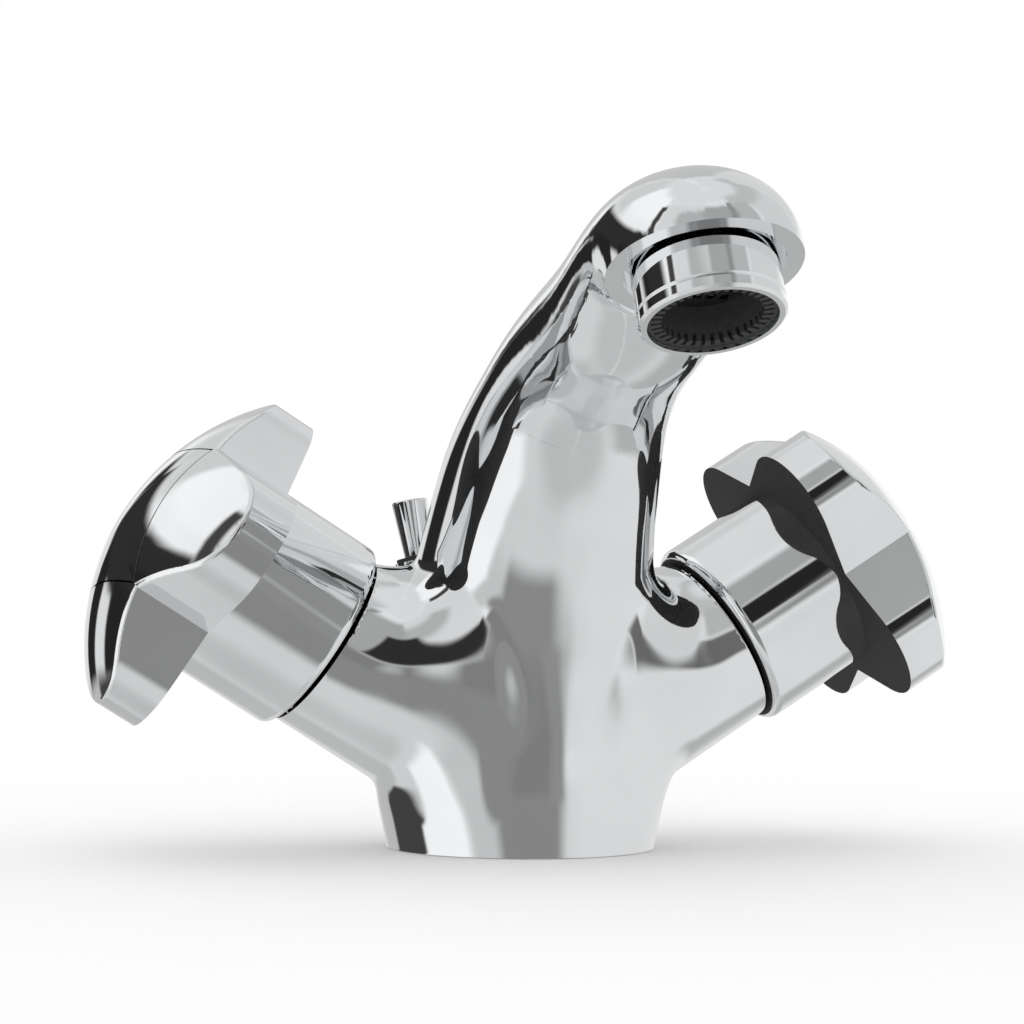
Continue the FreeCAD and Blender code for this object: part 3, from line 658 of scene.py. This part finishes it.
def step_up(tree, value, place, softness):
    node = tree.nodes.new("ShaderNodeMapRange")
    node.interpolation_type = "SMOOTHSTEP"
    node.inputs["From Min"].default_value = place - softness / 2
    node.inputs["From Max"].default_value = place + softness / 2
    tree.links.new(value, node.inputs["Value"])
    return node.outputs["Result"]


def band(tree, value, low, high, softness):
    rise = step_up(tree, value, low, softness)
    fall = step_up(tree, value, high, softness)
    return math_node(tree, "SUBTRACT", rise, fall)


def tent_material():
    material = bpy.data.materials.new("light_tent")
    material.use_nodes = True
    tree = material.node_tree
    tree.nodes.remove(tree.nodes["Principled BSDF"])
    where = tree.nodes.new("ShaderNodeTexCoord")
    split = tree.nodes.new("ShaderNodeSeparateXYZ")
    tree.links.new(where.outputs["Object"], split.inputs["Vector"])
    x, y, z = split.outputs["X"], split.outputs["Y"], split.outputs["Z"]
    to_degrees = math.degrees(1)
    around = math_node(tree, "ARCTAN2", x, math_node(tree, "MULTIPLY", y, -1))
    azimuth = math_node(tree, "MULTIPLY", around, to_degrees)
    height = math_node(tree, "DIVIDE", z, TENT_RADIUS)
    elevation = math_node(tree, "MULTIPLY", math_node(tree, "ARCSINE", height), to_degrees)
    level = 1.0
    for name, (left, right), (low, high), softness, brightness in TENT_PANELS:
        middle, half = (left + right) / 2, (right - left) / 2
        aside = math_node(tree, "WRAP", math_node(tree, "SUBTRACT", azimuth, middle), 180, -180)
        mask = math_node(tree, "MULTIPLY", band(tree, aside, -half, half, softness),
                         band(tree, elevation, low, high, softness))
        change = math_node(tree, "SUBTRACT", brightness, level)
        level = math_node(tree, "MULTIPLY_ADD", change, mask, level)
        level.node.label = name
    lamp = tree.nodes.new("ShaderNodeEmission")
    tree.links.new(level, lamp.inputs["Strength"])
    tree.links.new(lamp.outputs["Emission"], tree.nodes["Material Output"].inputs["Surface"])
    return material


def light_tent():
    mesh = bpy.data.meshes.new("light_tent")
    shell = bmesh.new()
    bmesh.ops.create_uvsphere(shell, u_segments=TENT_SEGMENTS, v_segments=TENT_RINGS,
                              radius=TENT_RADIUS)
    shell.to_mesh(mesh)
    shell.free()
    mesh.materials.append(tent_material())
    tent = bpy.data.objects.new("light_tent", mesh)
    bpy.context.scene.collection.objects.link(tent)
    tent.location = TENT_CENTRE
    tent.visible_camera = False
    tent.visible_diffuse = False
    tent.visible_transmission = False
    tent.visible_shadow = False


white_floor()
light_tent()

world = bpy.data.worlds.new("studio")
bpy.context.scene.world = world
world.use_nodes = True
background = world.node_tree.nodes["Background"]
background.inputs["Color"].default_value = (1, 1, 1, 1)
background.inputs["Strength"].default_value = 1.0


# Camera, calibrated on the photograph: lens and film width in mm, places in metres
AZIMUTH = math.radians(-17.91)
ELEVATION = math.radians(-0.91)
ROLL = math.radians(0.46)
DISTANCE = 0.60496
AIM = Vector((-0.00218, 0, 0.06506))
LENS = 109.04
FILM_WIDTH = 36
CLIP_RANGE = (0.01, 50)


def aim_camera():
    level = math.cos(ELEVATION)
    back = Vector((math.sin(AZIMUTH) * level, -math.cos(AZIMUTH) * level, math.sin(ELEVATION)))
    right = Vector((math.cos(AZIMUTH), math.sin(AZIMUTH), 0))
    up = back.cross(right)
    turned_right = right * math.cos(ROLL) + up * math.sin(ROLL)
    turned_up = up * math.cos(ROLL) - right * math.sin(ROLL)
    data = bpy.data.cameras.new("camera")
    data.lens = LENS
    data.sensor_width = FILM_WIDTH
    data.clip_start, data.clip_end = CLIP_RANGE
    camera = bpy.data.objects.new("camera", data)
    bpy.context.scene.collection.objects.link(camera)
    place = AIM + back * DISTANCE
    camera.matrix_world = Matrix((
        (turned_right.x, turned_up.x, back.x, place.x),
        (turned_right.y, turned_up.y, back.y, place.y),
        (turned_right.z, turned_up.z, back.z, place.z),
        (0, 0, 0, 1)))
    bpy.context.scene.camera = camera


aim_camera()
bpy.context.scene.view_settings.view_transform = "Standard"
